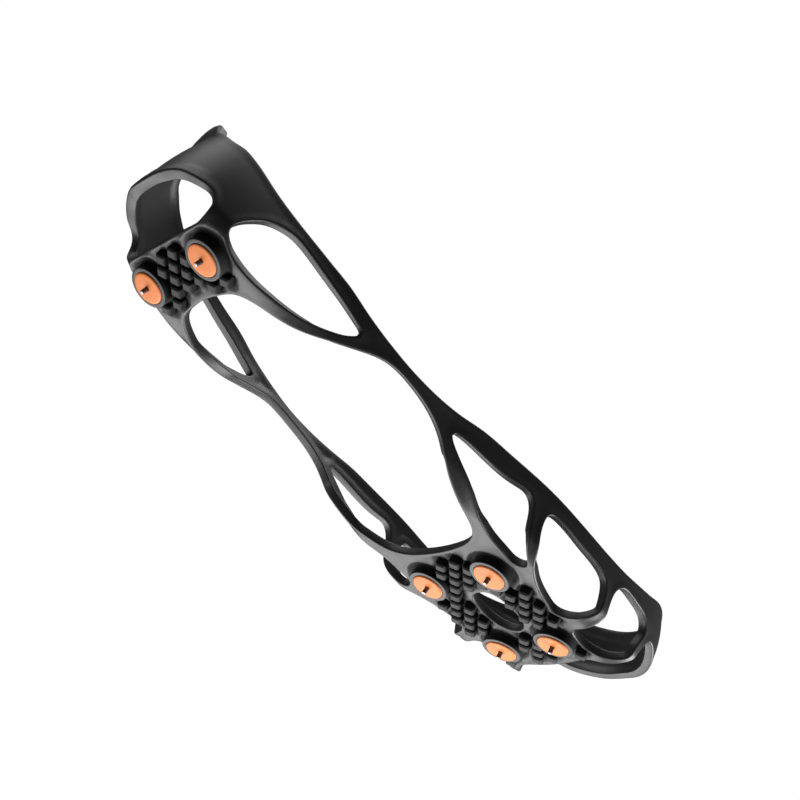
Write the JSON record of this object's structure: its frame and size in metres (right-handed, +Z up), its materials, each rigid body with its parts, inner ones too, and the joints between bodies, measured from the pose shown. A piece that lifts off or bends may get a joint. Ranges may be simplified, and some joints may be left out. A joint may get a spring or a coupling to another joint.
{
  "type": "shoe ice cleat",
  "caption": "Stretch-on rubber ice cleat for a shoe: a rim harness with sole straps, a heel plate and a forefoot plate that carry steel-pinned grip studs.",
  "frame": {"origin": "on the ground under the middle of the cleat, where the pin tips stand", "axes": "+Y towards the toe, +Z up into the shoe, X across; the sole and its pins face -Z"},
  "size_m": [0.1006, 0.3006, 0.0645],
  "materials": {
    "harness_rubber": "moulded black elastomer, satin",
    "stud_orange": "moulded hard plastic, satin",
    "pin_carbide": "ground hard metal",
    "washer_steel": "plain stamped steel"
  },
  "bodies": {
    "root": {"disc_fore_front_left": "stud_orange", "disc_fore_front_right": "stud_orange", "disc_fore_rear_left": "stud_orange", "disc_fore_rear_right": "stud_orange", "disc_heel_left": "stud_orange", "disc_heel_right": "stud_orange", "forefoot_plate_front_left": "harness_rubber", "forefoot_plate_front_right": "harness_rubber", "forefoot_plate_rear_left": "harness_rubber", "forefoot_plate_rear_right": "harness_rubber", "front_arm_left": "harness_rubber", "front_arm_right": "harness_rubber", "heel_cup": "harness_rubber", "heel_plate": "harness_rubber", "heel_strap_left": "harness_rubber", "heel_strap_right": "harness_rubber", "mid_strap_left": "harness_rubber", "mid_strap_right": "harness_rubber", "pin_fore_front_left": "pin_carbide", "pin_fore_front_right": "pin_carbide", "pin_fore_rear_left": "pin_carbide", "pin_fore_rear_right": "pin_carbide", "pin_heel_left": "pin_carbide", "pin_heel_right": "pin_carbide", "rear_arm_left": "harness_rubber", "rear_arm_right": "harness_rubber", "rim_band_left": "harness_rubber", "rim_band_right": "harness_rubber", "toe_band": "harness_rubber", "toe_strap_left": "harness_rubber", "toe_strap_right": "harness_rubber", "washer_fore_front_left": "washer_steel", "washer_fore_front_right": "washer_steel", "washer_fore_rear_left": "washer_steel", "washer_fore_rear_right": "washer_steel", "washer_heel_left": "washer_steel", "washer_heel_right": "washer_steel"}
  },
  "joints": []
}
